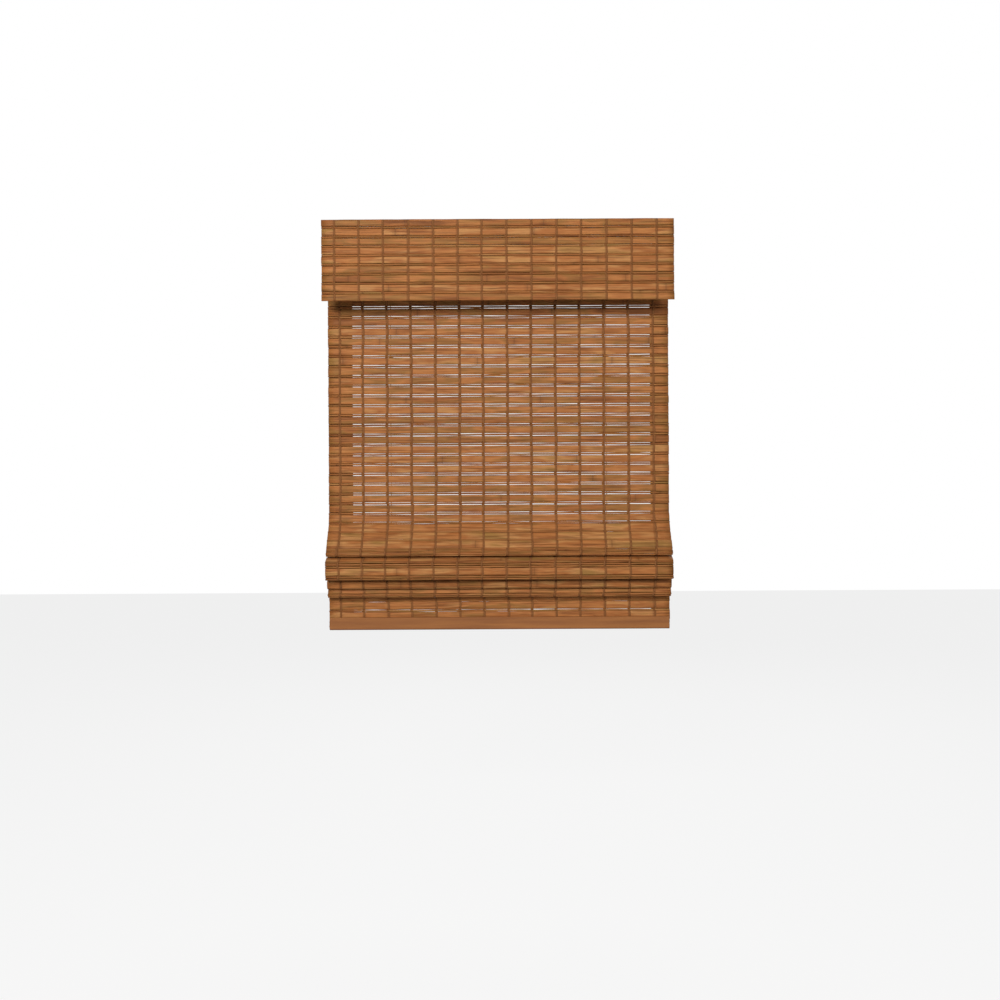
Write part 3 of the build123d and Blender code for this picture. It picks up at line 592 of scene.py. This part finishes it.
def addWarps(shape, path, laid, first, last, columns):
    # two threads in each column, one before the slats and one behind, that change sides between the reeds
    knots = [(first, 0.0)]
    for kind, a, b in laid:
        if kind == "slat":
            away = reeds["thick"] / 2 + warps["over"]
            knots += [(a + 1.0, away), ((a + b) / 2, away * 1.12), (b - 1.0, away)]
        else:
            knots.append(((a + b) / 2, -reeds["stick"] / 2 - 0.2))
    knots = [knot for knot in knots if first <= knot[0] <= last] + [(last, 0.0)]
    for column in columns:
        drift = dice.uniform(-warps["drift"], warps["drift"])
        for strand in (-1, 1):
            route = []
            for s, away in knots:
                heading = path.heading(s)
                spot = path.at(s) + Vector((heading.y, -heading.x)) * away * strand
                sway = noise.noise(Vector((column * 0.1, s * 0.02, 0))) * warps["sway"]
                route.append(Vector((column + drift + strand * warps["apart"] + sway, spot.x, spot.y)))
            addThread(shape, route, warps["radius"], 2, 6, warps["wide"])


tape = {"behind": 2.1, "half": 0.3, "step": 3.0, "leftInner": -293.0, "rightInner": 304.5}


def addTape(shape, path, first, last, inner, outer):
    # the cloth strip glued behind an edge
    count = max(2, ceil((last - first) / tape["step"]))
    rings, marks = [], []
    for n in range(count + 1):
        s = first + (last - first) * n / count
        heading = path.heading(s)
        back = Vector((-heading.y, heading.x))
        spot = path.at(s) + back * tape["behind"]
        near, far = spot - back * tape["half"], spot + back * tape["half"]
        rings.append([Vector((x, place.x, place.y)) * mm
                      for x, place in ((inner, far), (outer, far), (outer, near), (inner, near))])
        marks.append(s * mm)
    across = [inner * mm, outer * mm, outer * mm + 0.001, inner * mm + 0.001, inner * mm]
    shape.tube(rings, marks, across, 3)


# the shade mat, in stretches that end at the ring rows
def inverseSmooth(w):  # where along a blend the share w is reached
    low, high = 0.0, 1.0
    for halving in range(40):
        middle = (low + high) / 2
        if middle * middle * (3 - 2 * middle) < w:
            low = middle
        else:
            high = middle
    return (low + high) / 2


def blendEnds(fromHeight, fromShare, toHeight, toShare):
    # start and end heights of a blend that has these two shares at these two heights
    a, b = inverseSmooth(fromShare), inverseSmooth(toShare)
    scale = (toHeight - fromHeight) / (b - a)
    start = fromHeight - a * scale
    return start, start + scale


# ring rows 1 to 7, the lowest row, and how far the rows go with the lift of the folds and of the rail
rows = {"height": [-100.4, -258.0, -395.9, -553.5, -652.15, -664.7, -677.1], "last": -709.6,
        "lift": [0.0315, 0.3115, 0.5537, 0.8337, 1.0], "fold": [0.3801, 0.7034]}
# the three loops: depth and height of each bottom, its share of the rail's travel, and the slat on its face
folds = {
    "bottoms": [(51.0, -702.3), (30.0, -721.3), (22.5, -738.8)], "shares": [0.19, 0.54, 0.86],
    "faces": [(54.2, -687.4), (33.7, -714.0), (22.5, -727.0)], "bent": [2.4, 2.0, 1.9],
    "faceTop": -692.3, "railFrom": -686.0,
}
mat = {
    "batten": -62.0, "firstReed": 3.18,
    "lastOpen": 554.3, "closedFrom": 554.0,  # no light shows through the mat below here
    "faceLap": 0.7, "faceSlit": -766.2, "faceSlitCut": 1.1,  # but for one slit in the lower face
}
seat = [matPath.near(matDepth, height) for height in rows["height"][:5]]
loopB, loopC, loopD = [matPath.near(depth, height) for depth, height in folds["bottoms"]]
rowSix, rowSeven = [matPath.near(matDepth, height) for height in rows["height"][5:]]
faceTop = matPath.near(matDepth, folds["faceTop"], loopD)
batten = matPath.near(matDepth, mat["batten"])

# name, from, to, bodies, then heights and shares at the two ends
stretches = [("matHead", 0.0, batten, None, None)]
panelEnds, panelShares = [batten] + seat, [(mat["batten"], 0.0)] + list(zip(rows["height"][:5], rows["lift"]))
for n in range(5):
    stretches.append((f"matPanel{n + 1}", panelEnds[n], panelEnds[n + 1], ("headrail", "row_5"),
                      (*panelShares[n], *panelShares[n + 1])))
foldEnds = [seat[4], loopB, rowSix, loopC, rowSeven, loopD, faceTop]
bottoms = [(height, share) for (depth, height), share in zip(folds["bottoms"], folds["shares"])]
tops = list(zip(rows["height"][5:] + [folds["railFrom"]], rows["fold"] + [1.0]))
foldShares = [(rows["height"][4], 0.0), bottoms[0], tops[0], bottoms[1], tops[1], bottoms[2], tops[2]]
for n, name in enumerate(("BFront", "BBack", "CFront", "CBack", "DFront", "DBack")):
    stretches.append(("fold" + name, foldEnds[n], foldEnds[n + 1], ("row_5", "bottom_rail"),
                      (*foldShares[n], *foldShares[n + 1])))
stretches.append(("lowerFace", faceTop, matPath.length, "bottom_rail", None))

weave = (reeds["slat"], reeds["stick"], reeds["slit"])
closed = (reeds["closedSlat"], reeds["stick"], reeds["closedSlit"])
tied = reeds["stick"] / 2 + reeds["slit"]  # room beside a matchstick that carries rings
laidMat = layReeds(matPath, mat["firstReed"], mat["lastOpen"], *weave)
laidMat += layReeds(matPath, mat["closedFrom"], seat[4] - tied, *closed)
for n, (first, last) in enumerate(((seat[4], rowSix), (rowSix, rowSeven), (rowSeven, faceTop))):
    laidMat.append(("stick", first - reeds["stick"] / 2, first + reeds["stick"] / 2))
    end = last - (tied if last < faceTop else reeds["slit"])
    onFace = matPath.near(*folds["faces"][n], first)
    laidMat += layFrom(matPath, first + tied, end, onFace, *weave, folds["bent"][n])
faceSlit = matPath.near(matDepth, mat["faceSlit"], faceTop)
for kind, a, b in layReeds(matPath, faceTop - mat["faceLap"], matPath.length, *closed):
    laidMat.append((kind, a, b - mat["faceSlitCut"] if abs(b - faceSlit) < 2.0 else b))
tapeOuter = reeds["width"] / 2 - 0.4
for name, first, last, bodies, shares in stretches:
    shape = Shape()
    laid = [reed for reed in laidMat if first <= (reed[1] + reed[2]) / 2 < last]
    columns = warps["fold"] if name.startswith("fold") else warps["flat"]
    for kind, a, b in laid:
        addReed(shape, matPath, kind, a, b, reeds["width"], columns)
    addWarps(shape, matPath, laid, first, last, columns)
    addTape(shape, matPath, first, last, tape["leftInner"], -tapeOuter)
    addTape(shape, matPath, first, last, tape["rightInner"], tapeOuter)
    piece = shape.build(name, [slatFinish, stickFinish, warpFinish, tapeFinish])
    if shares:
        start, end = blendEnds(*shares)
        start * mm
        end * mm
        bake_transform(piece)
    else:
        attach(piece, bodies or "headrail")
    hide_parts("shade_mat", "left_edge_tape", "right_edge_tape")
print("shade mat woven:", len(laidMat), "reeds")


# valance
valance = {"y": -41.2, "drop": 158.0, "slat": 13.5, "stick": 3.8, "slit": 0.4, "width": 686.5,
           "board": 32.0, "boardTape": 339.0, "tape": 42.0, "margin": 0.5}
valanceDepth = cordY - valance["y"]
valancePath = Path([(valanceDepth, 0.0, 0), (valanceDepth + 0.01, -60.0, 5.0),  # a path needs one bend
                    (valanceDepth, -valance["drop"], 0)])
laidValance = layReeds(valancePath, 0.0, valancePath.length + 0.6, valance["slat"], valance["stick"],
                       valance["slit"])
shape = Shape()
for kind, a, b in laidValance:
    addReed(shape, valancePath, kind, a, b, valance["width"], warps["valance"])
tapeTop, tapeFoot = valance["margin"], valance["drop"] - valance["margin"]
addWarps(shape, valancePath, laidValance, tapeTop, tapeFoot, warps["valance"])
for side in (-1, 1):
    inner, outer = side * (valance["width"] / 2 - valance["tape"]), side * (valance["width"] / 2 - 0.6)
    addTape(shape, valancePath, tapeTop, valance["board"], side * valance["boardTape"], outer)
    addTape(shape, valancePath, valance["board"], tapeFoot, inner, outer)
valanceWeave = shape.build("valanceWeave", [slatFinish, stickFinish, warpFinish, tapeFinish])
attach(valanceWeave, "headrail")
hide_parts("valance_mat", "valance_edge_tapes")
print("valance woven")


# lift cords: wound on the drums, along the headrail, over the rollers and down behind the mat
cords = {"x": 217.0, "radius": 0.7, "sides": 8, "level": -22.0, "turn": 5.0, "mid": 120.0,
         "drumX": 45.3, "drumY": 13.8, "wrap": 12.7, "wraps": 5, "wrapSteps": 24, "layer": 6.4,
         "headFoot": -40.0, "foot": (-781.4, -792.0, -803.0)}


def straightDown(x, top, foot, steps):
    return [Vector((x, cordY, top + (foot - top) * n / steps)) for n in range(steps + 1)]


foldHead = rows["height"][4]
for side, label in ((-1, "left"), (1, "right")):
    x = side * cords["x"]
    head = Shape()
    winding = []
    steps = cords["wraps"] * cords["wrapSteps"]
    for n in range(steps + 1):
        angle = 2 * pi * n / cords["wrapSteps"]
        winding.append(Vector((side * cords["drumX"] + cords["wrap"] * sin(angle),
                               cords["drumY"] + cords["wrap"] * cos(angle),
                               cords["level"] + cords["layer"] * (n / steps - 0.5))))
    addThread(head, winding, cords["radius"], 0, 6)
    over = [Vector((side * place, cordY, cords["level"]))
            for place in (cords["drumX"], cords["mid"], cords["x"] - cords["turn"])]
    for n in range(1, 9):  # a quarter turn over the roller
        angle = pi / 2 * n / 8
        over.append(Vector((x - side * cords["turn"] * (1 - sin(angle)), cordY,
                            cords["level"] - cords["turn"] * (1 - cos(angle)))))
    over.append(Vector((x, cordY, cords["headFoot"])))
    addThread(head, over, cords["radius"], 0, cords["sides"])
    headCord = head.build(f"{label}CordHead", [cordFinish])
    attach(headCord, "headrail")
    drop = Shape()
    route = straightDown(x, cords["headFoot"], foldHead, 50)
    addThread(drop, route, cords["radius"], 0, cords["sides"])
    dropCord = drop.build(f"{label}CordDrop", [cordFinish])
    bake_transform(dropCord)
    low = Shape()
    route = straightDown(x, foldHead, cords["foot"][0], 20)
    addThread(low, route, cords["radius"], 0, cords["sides"])
    lowCord = low.build(f"{label}CordFolds", [cordFinish])
    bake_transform(lowCord)
    foot = Shape()
    route = [Vector((x, cordY, height)) for height in cords["foot"]]
    addThread(foot, route, cords["radius"], 0, cords["sides"])
    footCord = foot.build(f"{label}CordFoot", [cordFinish])
    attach(footCord, "bottom_rail")
    for piece in (headCord, dropCord, lowCord, footCord):
        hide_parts(f"{label}_lift_cord")

# thread ties that hold each ring to its matchstick
tieLoop = {"y": 19.9, "deep": 2.75, "high": 1.95, "slant": 0.25, "apart": 0.55, "radius": 0.28, "steps": 16}
ringBodies = ["row_1", "row_2", "row_3", "row_4", "row_5", "row_6", "row_7", "bottom_rail"]
for number, (height, body) in enumerate(zip(rows["height"] + [rows["last"]], ringBodies), start=1):
    tie = Shape()
    for side in (-1, 1):
        for strand in (-1, 0, 1):
            x = side * cords["x"] + strand * tieLoop["apart"]
            loop = []
            for n in range(tieLoop["steps"] + 1):
                angle = 2 * pi * n / tieLoop["steps"]
                loop.append(Vector((x + tieLoop["slant"] * sin(angle * 2),
                                    tieLoop["y"] + tieLoop["deep"] * cos(angle),
                                    height + tieLoop["high"] * sin(angle))))
            addThread(tie, loop, tieLoop["radius"], 0, 5)
    ties = tie.build(f"ringTies{number}", [tieFinish])
    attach(ties, body)
print("cords and ties made")


# finishes of the rigid pieces, by a word in the node's name; the first that fits is taken
strip = boardFinish("batten", srgb(196, 158, 112), srgb(158, 118, 78), 9.0)
nodeFinish = {
    "screws": steelFinish("screwSteel", srgb(182, 178, 168), 5.0, 0.24),
    "hook_tape": boardFinish("hookCloth", srgb(222, 218, 206), srgb(188, 184, 172), 4.0, 0.8),
    "end_cap": mouldedFinish("capPlastic", srgb(228, 225, 216), 2.0),
    "bracket": steelFinish("bracketSteel", srgb(190, 190, 192), 3.0),
    "clips": steelFinish("clipSteel", srgb(176, 177, 180), 4.0, 0.26),
    "drum": mouldedFinish("drumPlastic", srgb(212, 214, 212), 8.0, 0.36),
    "gear": mouldedFinish("gearPlastic", srgb(206, 209, 210), 9.0, 0.36),
    "spring": steelFinish("springSteel", srgb(120, 126, 136), 6.0, 0.22),
    "motor_": mouldedFinish("casePlastic", srgb(232, 231, 226), 7.0),
    "guide": mouldedFinish("guidePlastic", srgb(226, 226, 220), 10.0),
    "ring_row": mouldedFinish("ringPlastic", srgb(226, 222, 208), 11.0, 0.22),
    "buttons": mouldedFinish("buttonPlastic", srgb(214, 196, 164), 12.0, 0.28),
    "batten": strip, "board": strip, "back_slat": strip,
    "bottom_rail": boardFinish("railBamboo", srgb(158, 100, 46), srgb(124, 72, 31), 2.0, 0.5, -0.806),
    "headrail": paintFinish("headrailPaint", srgb(222, 216, 204), 1.0),
}
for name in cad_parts:
    node = bpy.data.objects.get(name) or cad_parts[name]
    if not node.hide_render:
        word = next(word for word in nodeFinish if word in name)
        node.data.materials.clear()
        node.data.materials.append(nodeFinish[word])

print("all pieces placed")
